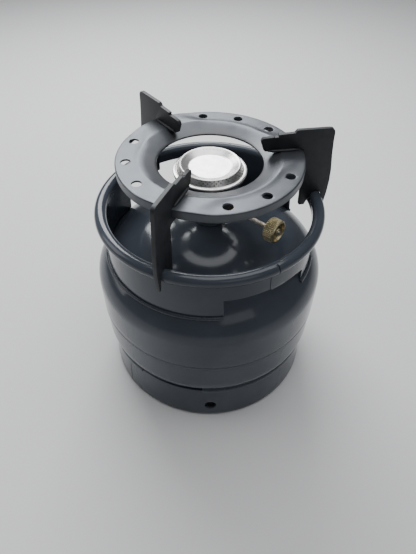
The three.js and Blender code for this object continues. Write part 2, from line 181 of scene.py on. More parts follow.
def spun(outline, steps=192, start=None, end=None):
    """Spins a closed outline, in millimetres, all the way round or between two azimuths."""
    bm = bmesh.new()
    whole = start is None
    first = 0 if whole else start
    verts = [bm.verts.new(around(first, r, z)) for r, z in outline]
    edges = [bm.edges.new(pair) for pair in zip(verts, verts[1:])]
    closed = outline[0][0] > 1e-6
    if closed:
        edges.append(bm.edges.new((verts[-1], verts[0])))
    angle = 2 * math.pi if whole else math.radians(end - start)
    if not whole:
        bm.faces.new(verts)
    bmesh.ops.spin(bm, geom=verts + edges, cent=(0, 0, 0), axis=(0, 0, 1), angle=angle,
                   steps=steps, use_merge=whole)
    if not whole:
        rim = [edge for edge in bm.edges if edge.is_boundary]
        bmesh.ops.contextual_create(bm, geom=rim)
    bmesh.ops.remove_doubles(bm, verts=bm.verts, dist=1e-6)
    bmesh.ops.recalc_face_normals(bm, faces=bm.faces)
    return bm


def prism(outline, frame_matrix, depth):
    """Extrudes a flat outline; the matrix puts (x, y, depth) in its place."""
    bm = bmesh.new()
    verts = [bm.verts.new((x * MM, y * MM, 0)) for x, y in outline]
    face = bm.faces.new(verts)
    grown = bmesh.ops.extrude_face_region(bm, geom=[face])
    moved = [item for item in grown["geom"] if isinstance(item, bmesh.types.BMVert)]
    bmesh.ops.translate(bm, verts=moved, vec=(0, 0, depth * MM))
    bmesh.ops.transform(bm, matrix=frame_matrix, verts=bm.verts)
    bmesh.ops.recalc_face_normals(bm, faces=bm.faces)
    return bm


def basis(x_axis, y_axis, z_axis, origin):
    """A matrix that carries the three axes and the origin to the ones given."""
    matrix = Matrix((x_axis, y_axis, z_axis)).transposed().to_4x4()
    matrix.translation = origin
    return matrix


def facing_out(azimuth, start):
    """For a cutter drawn in (sideways, up) that runs outwards."""
    out = around(azimuth, 1, 0) / MM
    side = Vector((-out.y, out.x, 0))
    return basis(side, Vector((0, 0, 1)), out, out * start * MM)


def circle(radius, centre=(0, 0), sides=24):
    return [(centre[0] + radius * math.cos(2 * math.pi * i / sides),
             centre[1] + radius * math.sin(2 * math.pi * i / sides)) for i in range(sides)]


def mesh_from(bm, name):
    mesh = bpy.data.meshes.new(name)
    bm.to_mesh(mesh)
    bm.free()
    return mesh


def combined(parts):
    """Puts several bmeshes into one."""
    whole = bmesh.new()
    for part in parts:
        mesh = mesh_from(part, "part")
        whole.from_mesh(mesh)
        bpy.data.meshes.remove(mesh)
    return whole


def carved(bm, tools, edge=0.0, operation="DIFFERENCE"):
    """Cuts tools away from a shape, or joins them to it, then rounds the new edges."""
    body = bpy.data.objects.new("body", mesh_from(bm, "body"))
    tool = bpy.data.objects.new("tool", mesh_from(combined(tools), "tool"))
    for item in (body, tool):
        bpy.context.scene.collection.objects.link(item)
    modifier = body.modifiers.new("carve", "BOOLEAN")
    modifier.operation = operation
    modifier.solver = "EXACT"
    modifier.object = tool
    mesh = bpy.data.meshes.new_from_object(body.evaluated_get(bpy.context.evaluated_depsgraph_get()))
    out = bmesh.new()
    out.from_mesh(mesh)
    bmesh.ops.remove_doubles(out, verts=out.verts, dist=2e-6)
    bpy.data.meshes.remove(mesh)
    for item in (body, tool):
        data = item.data
        bpy.data.objects.remove(item)
        bpy.data.meshes.remove(data)
    if edge:
        round_edges(out, edge)
    return out


def round_edges(bm, width, segments=2, angle=40):
    sharp = [e for e in bm.edges if e.is_manifold and e.calc_face_angle(0) > math.radians(angle)]
    bmesh.ops.bevel(bm, geom=sharp, offset=width * MM, offset_type="OFFSET", segments=segments,
                    profile=0.5, affect="EDGES", clamp_overlap=True, material=-1)


# %% [markdown]
# ## Shader maths as Python
#
# A finish is written as an expression.

# %% Shader helpers


class Term:
    """One output socket of a finish, with Python's operators."""

    def __init__(self, kit, socket):
        self.kit = kit
        self.socket = socket

    def _maths(self, operation, *values):
        return self.kit.node("ShaderNodeMath", {"operation": operation}, dict(enumerate(values)))

    def __add__(self, other):
        return self._maths("ADD", self, other)

    def __sub__(self, other):
        return self._maths("SUBTRACT", self, other)

    def __rsub__(self, other):
        return self._maths("SUBTRACT", other, self)

    def __mul__(self, other):
        return self._maths("MULTIPLY", self, other)

    __radd__ = __add__
    __rmul__ = __mul__

    def root(self):
        return self._maths("SQRT", self)


class Finish:
    """A material under construction."""

    def __init__(self, name):
        self.material = bpy.data.materials.new(name)
        self.material.use_nodes = True
        self.tree = self.material.node_tree
        self.shader = self.tree.nodes["Principled BSDF"]
        self.place = self.node("ShaderNodeTexCoord", out="Object")
        self.x = self.node("ShaderNodeSeparateXYZ", {}, {0: self.place}, out=0)
        self.y = self.node("ShaderNodeSeparateXYZ", {}, {0: self.place}, out=1)
        self.z = self.node("ShaderNodeSeparateXYZ", {}, {0: self.place}, out=2)

    def node(self, kind, settings=None, sockets=None, out=0):
        made = self.tree.nodes.new(kind)
        for key, value in (settings or {}).items():
            setattr(made, key, value)
        for key, value in (sockets or {}).items():
            if isinstance(value, Term):
                self.tree.links.new(value.socket, made.inputs[key])
            else:
                made.inputs[key].default_value = value
        return Term(self, made.outputs[out])

    def radius(self):
        return (self.x * self.x + self.y * self.y).root()

    def noise(self, size, detail=2.0, rough=0.5, stretch=(1, 1, 1), where=None):
        """Noise whose features are about `size` millimetres across."""
        place = where or self.place
        if stretch != (1, 1, 1):
            place = self.node("ShaderNodeMapping", {}, {0: place, "Scale": stretch})
        return self.node("ShaderNodeTexNoise", {}, {
            "Vector": place, "Scale": 1 / (size * MM), "Detail": detail, "Roughness": rough})

    def band(self, value, start, end):
        """0 below start, 1 above end, smooth between."""
        return self.node("ShaderNodeMapRange", {"interpolation_type": "SMOOTHSTEP"},
                         {0: value, 1: start, 2: end, 3: 0.0, 4: 1.0})

    def blend(self, factor, first, second):
        return self.node("ShaderNodeMix", {"data_type": "RGBA"}, {0: factor, 6: first, 7: second}, out=2)

    def edges(self, size):
        """1 on convex and concave edges of about that radius, 0 on flat surfaces."""
        soft = self.node("ShaderNodeBevel", {"samples": 4}, {0: size * MM})
        true = self.node("ShaderNodeNewGeometry", out="Normal")
        likeness = self.node("ShaderNodeVectorMath", {"operation": "DOT_PRODUCT"}, {0: soft, 1: true}, out=1)
        return self.band(1 - likeness, 0.02, 0.2)

    def finish(self, colour, roughness, relief=None, **plain):
        values = {"Base Color": colour, "Roughness": roughness}
        values.update({key.replace("_", " "): value for key, value in plain.items()})
        for key, value in values.items():
            if isinstance(value, Term):
                self.tree.links.new(value.socket, self.shader.inputs[key])
            else:
                self.shader.inputs[key].default_value = value
        if relief is not None:
            bump = self.node("ShaderNodeBump", {}, {"Strength": 1.0, "Distance": 1.0, "Height": relief})
            self.tree.links.new(bump.socket, self.shader.inputs["Normal"])
        return self.material


# %% [markdown]
# ## The finishes
#
# Each finish has relief at its true scale, in metres, so that a grain of 0.02 mm is
# written as 0.02 * MM. Wear and dust are masks between a clean and a worn look.

# %% Tank paint


def tank_paint():
    """Glossy slate paint: orange peel, faint sag in the sheet, dust and rubbed edges."""
    kit = Finish("tank_paint")
    tone = kit.noise(60, 3)
    cloud = kit.noise(14, 4, 0.6)
    slate = kit.blend(kit.band(tone, 0.35, 0.7), (0.048, 0.057, 0.073, 1), (0.060, 0.070, 0.089, 1))
    speck = kit.band(kit.noise(1.4, 2, 0.6), 0.70, 0.78) * kit.band(cloud, 0.42, 0.62)
    low_dust = (1 - kit.band(kit.z, 2 * MM, 34 * MM)) * kit.band(cloud, 0.3, 0.75)
    dusty = kit.blend(speck * 0.12, slate, (0.20, 0.20, 0.20, 1))
    dusty = kit.blend(low_dust * 0.05, dusty, (0.16, 0.155, 0.14, 1))
    scratch = kit.band(kit.noise(2.2, 3, 0.55, (1, 1, 0.06)), 0.70, 0.74) * kit.band(tone, 0.45, 0.6)
    rubbed = kit.edges(0.9) * kit.band(kit.noise(5, 4, 0.7), 0.50, 0.64)
    colour = kit.blend(scratch * 0.12, dusty, (0.12, 0.13, 0.15, 1))
    colour = kit.blend(rubbed * 0.2, colour, (0.10, 0.10, 0.11, 1))
    roughness = 0.09 + cloud * 0.10 + low_dust * 0.12 + speck * 0.15 + rubbed * 0.2 + scratch * 0.12
    relief = kit.noise(1.6, 2) * (0.003 * MM) + kit.noise(38, 2) * (0.12 * MM)
    relief = relief + speck * (0.006 * MM) - scratch * (0.004 * MM)
    return kit.finish(colour, roughness, relief, Specular_IOR_Level=0.36)


PAINT = tank_paint()
print("paint nodes:", len(PAINT.node_tree.nodes))

# %% Painted weld metal


def weld_paint():
    """The same paint over a weld bead, where it pools and chips more."""
    kit = Finish("weld_paint")
    grain = kit.noise(2.5, 4, 0.65)
    pooled = kit.band(grain, 0.35, 0.7)
    chip = kit.band(kit.noise(3.4, 4, 0.7), 0.66, 0.72)
    colour = kit.blend(pooled, (0.046, 0.055, 0.070, 1), (0.062, 0.072, 0.090, 1))
    colour = kit.blend(chip * 0.3, colour, (0.12, 0.10, 0.08, 1))
    relief = grain * (0.05 * MM) - chip * (0.02 * MM)
    return kit.finish(colour, 0.14 + pooled * 0.10 + chip * 0.3, relief, Specular_IOR_Level=0.36)


WELD = weld_paint()

# %% Ring coat


def ring_coat():
    """Satin metallic grey: fine pigment flake, circular rub marks and heat near the flame."""
    kit = Finish("ring_coat")
    radius = kit.radius()
    flake = kit.noise(0.7, 1)
    cloud = kit.noise(22, 4, 0.6)
    heat = (1 - kit.band(radius, 54 * MM, 70 * MM)) * kit.band(cloud, 0.35, 0.65)
    circles = kit.node("ShaderNodeCombineXYZ", {}, {0: radius * 30, 1: kit.z * 3, 2: kit.x * 0.6})
    marks = kit.band(kit.noise(14, 3, 0.6, where=circles), 0.55, 0.68)
    colour = kit.blend(kit.band(cloud, 0.3, 0.7), (0.066, 0.072, 0.083, 1), (0.092, 0.098, 0.109, 1))
    colour = kit.blend(flake * 0.25, colour, (0.16, 0.168, 0.18, 1))
    colour = kit.blend(heat * 0.35, colour, (0.075, 0.062, 0.05, 1))
    worn = kit.edges(0.8) * kit.band(kit.noise(3, 3, 0.6), 0.45, 0.62)
    colour = kit.blend(worn * 0.6, colour, (0.10, 0.10, 0.11, 1))
    roughness = 0.30 + cloud * 0.10 + flake * 0.05 + marks * 0.06 + worn * 0.15
    relief = flake * (0.004 * MM) + marks * (0.003 * MM) + kit.noise(30, 2) * (0.05 * MM)
    return kit.finish(colour, roughness, relief, Metallic=0.7)


RING_COAT = ring_coat()

# %% Black arm coat


def arm_black():
    """Satin black over sheared plate: scuffs on the top edges, soot beside the flame."""
    kit = Finish("arm_black")
    cloud = kit.noise(11, 4, 0.6)
    grain = kit.noise(0.9, 2)
    colour = kit.blend(kit.band(cloud, 0.35, 0.7), (0.012, 0.014, 0.018, 1), (0.021, 0.024, 0.030, 1))
    worn = kit.edges(0.7) * kit.band(kit.noise(2.6, 4, 0.65), 0.48, 0.62)
    colour = kit.blend(worn * 0.4, colour, (0.11, 0.115, 0.12, 1))
    scuff = kit.band(kit.noise(1.8, 3, 0.6, (1, 1, 0.10)), 0.70, 0.75) * kit.band(cloud, 0.5, 0.62)
    colour = kit.blend(scuff * 0.25, colour, (0.09, 0.095, 0.10, 1))
    soot = 1 - kit.band(kit.radius(), 50 * MM, 66 * MM)
    colour = kit.blend(soot * cloud * 0.6, colour, (0.012, 0.011, 0.010, 1))
    roughness = 0.42 + cloud * 0.16 + soot * 0.2 + grain * 0.05
    relief = grain * (0.012 * MM) + cloud * (0.05 * MM) - scuff * (0.01 * MM)
    return kit.finish(colour, roughness, relief)


ARM_BLACK = arm_black()

# %% Bright spun metal


def burner_bright():
    """Spun bright metal: fine concentric tool marks, smears, and tan heat by the ports."""
    kit = Finish("burner_bright")
    radius = kit.radius()
    smear = kit.noise(9, 4, 0.6)
    circles = kit.node("ShaderNodeCombineXYZ", {}, {0: radius * 60, 1: kit.z * 60, 2: kit.x * 0.5})
    turning = kit.noise(16, 4, 0.65, where=circles)
    ports = kit.band(radius, 29 * MM, 31.5 * MM) * (1 - kit.band(radius, 34 * MM, 37 * MM))
    heat = ports * kit.band(smear, 0.45, 0.7)
    colour = kit.blend(kit.band(smear, 0.3, 0.7), (0.72, 0.71, 0.70, 1), (0.60, 0.595, 0.585, 1))
    colour = kit.blend(heat * 0.3, colour, (0.55, 0.45, 0.33, 1))
    roughness = 0.20 + turning * 0.16 + smear * 0.08
    relief = turning * (0.010 * MM) + smear * (0.03 * MM)
    return kit.finish(colour, roughness, relief, Metallic=1.0)


BRIGHT = burner_bright()

# %% Black heat paint


def burner_black():
    """Matt heat paint on cast and pressed parts, grainy, rubbed at the edges."""
    kit = Finish("burner_black")
    grain = kit.noise(0.8, 3, 0.6)
    cloud = kit.noise(7, 4, 0.6)
    worn = kit.edges(0.6) * kit.band(kit.noise(2, 3), 0.5, 0.64)
    colour = kit.blend(kit.band(cloud, 0.35, 0.7), (0.020, 0.021, 0.024, 1), (0.040, 0.041, 0.045, 1))
    colour = kit.blend(worn * 0.5, colour, (0.20, 0.19, 0.17, 1))
    relief = grain * (0.05 * MM) + cloud * (0.05 * MM)
    return kit.finish(colour, 0.5 + cloud * 0.2, relief)


BLACK = burner_black()

# %% Brass, plating, steel and rubber


def metal(name, bright, dull, roughness, grain_size, stain=(0.10, 0.07, 0.04, 1)):
    """Machined metal: clean on the high spots, stained where fingers and gas reach."""
    kit = Finish(name)
    cloud = kit.noise(5, 4, 0.6)
    grain = kit.noise(grain_size, 2)
    colour = kit.blend(kit.band(cloud, 0.3, 0.7), bright, dull)
    pits = kit.band(kit.noise(1.2, 3, 0.6), 0.62, 0.72)
    colour = kit.blend(pits * 0.5, colour, stain)
    rough = roughness + cloud * 0.15 + pits * 0.2
    return kit.finish(colour, rough, grain * (0.008 * MM) - pits * (0.02 * MM), Metallic=1.0)


def rubber():
    """Moulded black rubber with a faint bloom."""
    kit = Finish("seal_rubber")
    bloom = kit.noise(3, 4, 0.6)
    colour = kit.blend(bloom, (0.012, 0.012, 0.012, 1), (0.035, 0.035, 0.036, 1))
    return kit.finish(colour, 0.6 + bloom * 0.2, kit.noise(0.6, 2) * (0.02 * MM))


BRASS = metal("brass", (0.72, 0.55, 0.28, 1), (0.50, 0.37, 0.18, 1), 0.22, 0.4)
PLATING = metal("knob_plating", (0.74, 0.66, 0.42, 1), (0.56, 0.49, 0.30, 1), 0.24, 0.5)
STEEL = metal("spindle_steel", (0.78, 0.73, 0.67, 1), (0.52, 0.46, 0.40, 1), 0.3, 0.4)
RUBBER = rubber()
print("finishes:", [material.name for material in bpy.data.materials])

# %% [markdown]
# ## Putting a piece in the scene
#
# A finished bmesh becomes one object at the origin. It rides on a body, takes its finish
# and stands in for the frame's plainer node.

# %% Place a piece
made = {}


def place(bm, name, body, finish, slot, nodes=(), sharp=32):
    mesh = mesh_from(bm, name)
    mesh.shade_smooth()
    mesh.set_sharp_from_angle(angle=math.radians(sharp))
    mesh.materials.append(finish)
    piece = bpy.data.objects.new(name, mesh)
    bpy.context.scene.collection.objects.link(piece)
    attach(piece, body)
    if nodes:
        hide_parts(*nodes)
    made[name] = len(mesh.polygons)
    print(name, len(mesh.polygons), "faces")
    return piece


# %% [markdown]
# ## The vessel
#
# The vessel is two pressed halves. The upper half is the dome and the belly; the lower
# half has its top edge stepped inwards, a joggle, so that it slips inside the upper one.
# A bead of weld then runs round the step. Each half is a thin wall, spun from its outline.
# The dome is half an ellipse, and the base is two arcs: a tight knuckle and a wide crown.

# %% Vessel outlines
WALL = 2.2
DOME_SPRING = 147
DOME_DEPTH = 66.5
LOWER_HEAD = {"spring": 75, "knuckle": 32, "crown": 200}
BOSS_R = high("valve_boss", 0)
TUCK = UPPER_R - WALL - 0.3


def dished(inset, steps=14):
    """The base, from its springing line to the axis, inset by the wall thickness."""
    spring, knuckle, crown = LOWER_HEAD.values()
    knuckle_r = LOWER_R - knuckle
    turn = 90 - math.degrees(math.asin(knuckle_r / (crown - knuckle)))
    centre = spring + math.sqrt((crown - knuckle) ** 2 - knuckle_r ** 2)
    tight = arc(knuckle_r, spring, knuckle - inset, 0, -turn, steps)
    wide = arc(0, centre, crown - inset, -turn, -90, steps * 2)
    return tight + wide[1:]


def dome(inset, steps=48):
    """The dome, from its springing line to the axis, inset by the wall thickness."""
    points = []
    for i in range(steps + 1):
        angle = math.pi / 2 * i / steps
        rise = (DOME_DEPTH - inset) * math.sin(angle)
        points.append(((UPPER_R - inset) * math.cos(angle), DOME_SPRING + rise))
    return points


def dome_z(radius):
    return DOME_SPRING + DOME_DEPTH * math.sqrt(1 - (radius / UPPER_R) ** 2)


def open_at(points, radius):
    """Ends a dome's outline at the hole for the boss."""
    return [point for point in points if point[0] > radius]


# %% Upper and lower halves
hole_r = BOSS_R + 0.5
outside = open_at(dome(0), hole_r) + [(hole_r, dome_z(hole_r))]
inside = open_at(dome(WALL), hole_r) + [(hole_r, dome_z(hole_r) - WALL)]
belly = divided((UPPER_R, SEAM_Z + 2), (UPPER_R, DOME_SPRING), 6)
edge = eased([(UPPER_R - WALL, SEAM_Z, 0.3), (UPPER_R, SEAM_Z, 0.9), (UPPER_R, SEAM_Z + 8, 0)])[1:-1]
upper = [(UPPER_R - WALL, SEAM_Z + 0.4)] + edge + belly + outside + inside[::-1]
place(spun(upper, 256), "upper_shell", "tank", PAINT, "tank_paint", ["vessel_upper_shell"])

step_low = SEAM_Z - 6
joggle = arc(LOWER_R - 3, step_low - 0.6, 3, 0, 24, 4)
tucked = [(TUCK, SEAM_Z - 0.6), (TUCK, SEAM_Z + 9)]
inner_step = [(TUCK - WALL, SEAM_Z + 9), (TUCK - WALL, SEAM_Z - 0.6), (LOWER_R - WALL, step_low)]
base_outside = dished(0)[::-1]
flank = divided((LOWER_R, LOWER_HEAD["spring"]), (LOWER_R, step_low - 0.6), 6)
base_inside = dished(WALL)
lower = base_outside + flank + joggle + tucked + inner_step + base_inside
place(spun(lower, 256), "lower_shell", "tank", PAINT, "tank_paint", ["vessel_lower_shell"])

# %% [markdown]
# ## Weld beads
#
# A weld bead is laid in small overlapping ripples. The bead's lens-shaped section is
# spun along its seam, and then each ring of vertices is pushed in and out by a curve
# whose length is one ripple, with a slower wander on top.

# %% Weld bead helper
RIPPLE = 2.2
RIPPLE_DEPTH = 0.16
STEPS_PER_RIPPLE = 4


def rippled(bm, centre_r, centre_z):
    """Pushes a bead's surface in and out as it runs round."""
    for vert in bm.verts:
        radius = math.hypot(vert.co.x, vert.co.y) / MM
        along = math.radians(azimuth_of(vert.co)) * centre_r
        wave = abs(math.sin(math.pi * along / RIPPLE))
        wander = 0.5 * math.sin(along / 9.0) + 0.5 * math.sin(along / 23.0 + 1.0)
        amount = 1 + RIPPLE_DEPTH * (wave - 0.5) + 0.10 * wander
        new_r = centre_r + (radius - centre_r) * amount
        new_z = centre_z + (vert.co.z / MM - centre_z) * amount
        scale = new_r / radius
        vert.co = Vector((vert.co.x * scale, vert.co.y * scale, new_z * MM))
    return bm


def bead(centre_r, centre_z, width, tilt, start=None, end=None, flat=0.55):
    """A lens-shaped weld bead; tilt is the angle of its face."""
    lean = math.radians(tilt)
    section = []
    for x, y in circle(1, sides=12):
        u, v = x * width / 2, y * width / 2 * flat
        section.append((centre_r + u * math.cos(lean) - v * math.sin(lean),
                        centre_z + u * math.sin(lean) + v * math.cos(lean)))
    span = 360 if start is None else end - start
    steps = int(math.radians(span) * centre_r / RIPPLE * STEPS_PER_RIPPLE)
    return rippled(spun(section, steps, start, end), centre_r, centre_z)


# %% Girth weld
girth = bead(UPPER_R - 1.5, SEAM_Z - 2.2, 5.2, 96, flat=0.5)
place(girth, "girth_bead", "tank", WELD, "tank_paint", ["girth_weld"], sharp=60)

# %% [markdown]
# ## Foot ring
#
# The foot ring is a strip of sheet rolled into a hoop. Its lower edge is curled inwards
# so that it doesn't cut the ground, its ends meet in an upright butt seam, and three
# round holes let water out. The hoop is welded to the vessel, apart from a short stretch
# at the front left where a dark gap shows.

# %% Foot ring
FOOT_WALL = 3.0
FOOT_BEAD = 4.2
FOOT_BEAD_REACH = 2.6
FOOT_TOP_R = high("foot_ring_weld", 0) - FOOT_BEAD_REACH
HOLE_Z = 21.3
HOLE_R = 7.0
HOLE_AZIMUTHS = (1.7, 121.7, 241.7)
FOOT_SEAM_AZIMUTH = -51
curl_r = FOOT_R - FOOT_BEAD
foot_outline = (
    [(curl_r - 3, 0.1)] + arc(curl_r, FOOT_BEAD, FOOT_BEAD, -90, 0, 8)
    + divided((FOOT_R, FOOT_BEAD), (FOOT_TOP_R, FOOT_TOP), 8)
    + eased([(FOOT_R, FOOT_BEAD, 0), (FOOT_TOP_R, FOOT_TOP, 0.8), (FOOT_TOP_R - FOOT_WALL, FOOT_TOP, 0.8),
             (FOOT_R - FOOT_WALL, FOOT_BEAD, 0)])[1:-1]
    + divided((FOOT_TOP_R - FOOT_WALL, FOOT_TOP), (FOOT_R - FOOT_WALL, FOOT_BEAD), 8)
    + arc(curl_r, FOOT_BEAD, FOOT_BEAD - FOOT_WALL, 0, -90, 4) + [(curl_r - 3, FOOT_WALL)]
)
holes = [prism(circle(HOLE_R, (0, HOLE_Z), 40), facing_out(azimuth, FOOT_R - 20), 40)
         for azimuth in HOLE_AZIMUTHS]
slot_outline = [(-0.35, -5), (0.35, -5), (0.35, FOOT_TOP + 5), (-0.35, FOOT_TOP + 5)]
butt = prism(slot_outline, facing_out(FOOT_SEAM_AZIMUTH, FOOT_R - 2.4), 12)
foot = carved(spun(foot_outline, 256), holes + [butt], edge=0.35)
place(foot, "foot_hoop", "tank", PAINT, "tank_paint", ["foot_ring"])

foot_bead = bead(FOOT_TOP_R + 0.6, FOOT_TOP + 2.6, 6.4, 118, -3, 321, flat=0.5)
place(foot_bead, "foot_bead", "tank", WELD, "tank_paint", ["foot_ring_weld"], sharp=60)

# %% [markdown]
# ## Guard collar
#
# The collar starts as a strip with three openings stamped in it. It is rolled into a
# hoop, and its top edge is curled outwards into a thick round rim that is safe to carry.
# The ends meet at the front right, where the curl shows a small nick. Here the wall and
# the curl are spun as one sheet, then the openings are cut and their edges eased.

# %% Collar outline
SHEET = 2.5
CURL = 6.5
CURL_R = RIM_OUTER - CURL
CURL_Z = RIM_TOP - CURL
COLLAR_FOOT_R = 116.6
COLLAR_GAP = 0.5
SEAM_AZIMUTH = 32.5
foot_in = (COLLAR_FOOT_R - SHEET, dome_z(COLLAR_FOOT_R - SHEET) + COLLAR_GAP)
foot_out = (COLLAR_FOOT_R, dome_z(COLLAR_FOOT_R) + COLLAR_GAP)
wall_in = divided(foot_in, (CURL_R - CURL, CURL_Z), 14)
wall_out = divided((CURL_R - CURL + SHEET, CURL_Z - CURL + 0.6), foot_out, 14)
collar_outline = (
    [foot_in] + wall_in
    + arc(CURL_R, CURL_Z, CURL, 180, -108, 26)
    + arc(CURL_R, CURL_Z, CURL - SHEET, -108, 180, 16)
    + [(CURL_R - CURL + SHEET, CURL_Z - CURL + 0.6)] + wall_out + [foot_out]
)

# %% Collar openings


def tall_opening(half, top=223.0, corner=14.0):
    low_z = COLLAR_FOOT_Z - 12
    right = arc(half - corner, top - corner, corner, 0, 90, 8)
    left = arc(corner - half, top - corner, corner, 90, 180, 8)
    return [(-half, low_z), (half, low_z)] + right + left


def low_opening():
    low_z = COLLAR_FOOT_Z - 12
    outline = [(-55.4, low_z, 0), (41, low_z, 0), (44.0, 192.6, 3.5), (30.8, 196.6, 10), (20, 198.3, 6),
               (-6.4, 199.3, 0.8), (-7.4, 200.9, 0.8), (-55.4, 200.9, 2)]
    return eased(outline, steps=5)


openings = [
    prism(low_opening(), facing_out(36, 60), 70),
    prism(tall_opening(42), facing_out(99.5, 60), 70),
    prism(tall_opening(46.5), facing_out(215, 60), 70),
]
nick_outline = [(-0.5, CURL_Z - 9), (0.5, CURL_Z - 9), (0.5, CURL_Z + 9), (-0.5, CURL_Z + 9)]
nick = prism(nick_outline, facing_out(SEAM_AZIMUTH, CURL_R + 1.5), 12)
collar = carved(spun(collar_outline, 288), openings + [nick], edge=0.4)
place(collar, "guard_collar", "tank", PAINT, "tank_paint", ["collar"], sharp=38)

# %% Lap seam and collar welds


def wall_r(z):
    """Outer radius of the collar's wall at a height."""
    t = (z - foot_out[1]) / (CURL_Z - CURL + 0.6 - foot_out[1])
    return COLLAR_FOOT_R + t * (CURL_R - CURL + SHEET - COLLAR_FOOT_R)


lap = spun(eased([(wall_r(200.4) - 0.6, 200.4, 0.2), (wall_r(200.4) + 0.55, 200.8, 0.4),
                  (wall_r(224.6) + 0.55, 224.6, 0.4), (wall_r(224.6) - 0.6, 224.6, 0.2)]),
           8, SEAM_AZIMUTH - 0.5, SEAM_AZIMUTH + 0.4)
place(lap, "collar_lap_seam", "tank", WELD, "tank_paint", sharp=50)

FEET = ((56.6, 78.4), (120.6, 191.5), (238.5, 367.6))
for number, (start, end) in enumerate(FEET, 1):
    toe = COLLAR_FOOT_R + 1.2
    run = bead(toe, dome_z(toe) + 1.1, 4.0, -45, start + 0.3, end - 0.3, flat=0.62)
    place(run, f"collar_bead_{number}", "tank", WELD, "tank_paint", [f"collar_weld_{number}"], sharp=60)

# %% [markdown]
# ## Boss and cylinder valve
#
# A threaded boss is welded into the top of the dome, and the cylinder valve is screwed
# into it. Both are turned parts with eased corners, painted over with the vessel.

# %% Boss and valve
boss_low, boss_top = low("valve_boss"), high("valve_boss")
boss = eased([(11.3, boss_low), (BOSS_R, boss_low), (BOSS_R, boss_top, 1.4), (11.3, boss_top, 0.6)])
place(spun(boss, 96), "threaded_boss", "tank", PAINT, "tank_paint", ["valve_boss"])
boss_bead = bead(BOSS_R + 1.2, dome_z(BOSS_R) + 1.1, 3.4, -45, flat=0.62)
place(boss_bead, "boss_bead", "tank", WELD, "tank_paint", ["boss_weld"], sharp=60)

valve_low = low("cylinder_valve_body")
flange_z = boss_top + 0.3
socket_z = low("inlet_seal") - 0.3
valve_r = high("cylinder_valve_body", 0)
valve = eased([
    (5.2, valve_low), (10.9, valve_low), (10.9, flange_z, 0), (valve_r, flange_z, 0.6),
    (valve_r, flange_z + 4, 0.8),
    (valve_r - 1.4, flange_z + 4.8, 0.4), (valve_r - 1.4, flange_z + 6.2, 0.4), (valve_r, flange_z + 7, 0.8),
    (valve_r, high("cylinder_valve_body"), 0.8), (8.3, high("cylinder_valve_body"), 0.3), (8.3, socket_z, 0),
    (2.3, socket_z, 0.2), (2.3, socket_z - 3, 0.2), (5.2, socket_z - 3, 0),
])
place(spun(valve, 96), "cylinder_valve", "tank", PAINT, "tank_paint", ["cylinder_valve_body"])

# %% [markdown]
# ## Burner
#
# The burner screws into the cylinder valve. From the bottom up it has a black valve body
# with a boss on its side for the control spindle, a short tube whose four windows let
# air in, a pressed pot, and a bright spun head with three rows of flame ports.

# %% Valve body


def on_spindle(bm):
    """Moves a piece made along +Z onto the spindle's axis."""
    side = SPINDLE_AXIS.cross(Vector((0, 0, 1)))
    matrix = basis(Vector((0, 0, 1)), -side, SPINDLE_AXIS, Vector((0, 0, SPINDLE_Z * MM)))
    bmesh.ops.transform(bm, matrix=matrix, verts=bm.verts)
    bmesh.ops.recalc_face_normals(bm, faces=bm.faces)
    return bm


BODY_R = high("mixing_tube", 0)
BODY_LOW = low("burner_valve_body")
SIDE_BOSS_R = 8.5
SIDE_BOSS_END = 32.0
body = spun(eased([
    (0, BODY_LOW), (8, BODY_LOW, 0.5), (8, BURNER_SEAT, 0), (14.5, BURNER_SEAT, 0.5),
    (BODY_R, BURNER_SEAT + 3, 1.2), (BODY_R, BODY_TOP - 3, 0), (BODY_R, BODY_TOP, 1.2), (0, BODY_TOP),
]), 96)
side_boss = on_spindle(spun(eased([
    (0, 8), (SIDE_BOSS_R, 8, 0), (SIDE_BOSS_R, SIDE_BOSS_END, 1.2), (0, SIDE_BOSS_END)]), 64))
bore = on_spindle(spun([(0, 4.2), (4.4, 4.2), (4.4, SIDE_BOSS_END + 8), (0, SIDE_BOSS_END + 8)], 48))
jet_hole = spun([(0, SPINDLE_Z - 2), (3.3, SPINDLE_Z - 2), (3.3, BODY_TOP + 8), (0, BODY_TOP + 8)], 48)
pin_hole = spun([(0, BODY_LOW - 8), (1.5, BODY_LOW - 8), (1.5, BODY_LOW + 3.4), (0, BODY_LOW + 3.4)], 24)
body = carved(carved(body, [side_boss], operation="UNION"), [bore, jet_hole, pin_hole], edge=0.3)
place(body, "burner_body", "tank", BLACK, "burner_black", ["burner_valve_body"])

# %% Mixing tube and pot
tube_low, tube_top = low("mixing_tube"), high("mixing_tube")
tube_in = BODY_R - 2
tube = spun(eased([(tube_in, tube_low), (BODY_R, tube_low), (BODY_R, tube_top), (tube_in, tube_top)]), 96)
window = eased([(-5, tube_low + 2.7, 2), (5, tube_low + 2.7, 2), (5, tube_top - 3, 2), (-5, tube_top - 3, 2)])
windows = [prism(window, facing_out(5 + 90 * i, 10), 12) for i in range(4)]
place(carved(tube, windows, edge=0.25), "air_tube", "tank", BLACK, "burner_black", ["mixing_tube"])

POT_TOP = high("burner_pot")
POT_R = high("burner_pot", 0)
pot = eased([
    (12, POT_BASE, 0.3), (BODY_R, POT_BASE, 0.8), (20.5, POT_BASE + 0.9, 3), (34, POT_TOP - 2.6, 4),
    (POT_R, POT_TOP - 2, 0.8), (POT_R, POT_TOP, 0.6), (33.4, POT_TOP, 1.5), (19.6, POT_BASE + 2.9, 3),
    (12, POT_BASE + 2, 0.3),
])
place(spun(pot, 128), "burner_bowl", "tank", BLACK, "burner_black", ["burner_pot"])

# %% [markdown]
# ### Burner head
#
# The head is spun from bright sheet. Its flange is rolled over the pot, its side slopes
# up to a crisp ridge, and its middle is a shallow dish. The three rows of ports are real
# holes through the sheet, staggered from row to row.

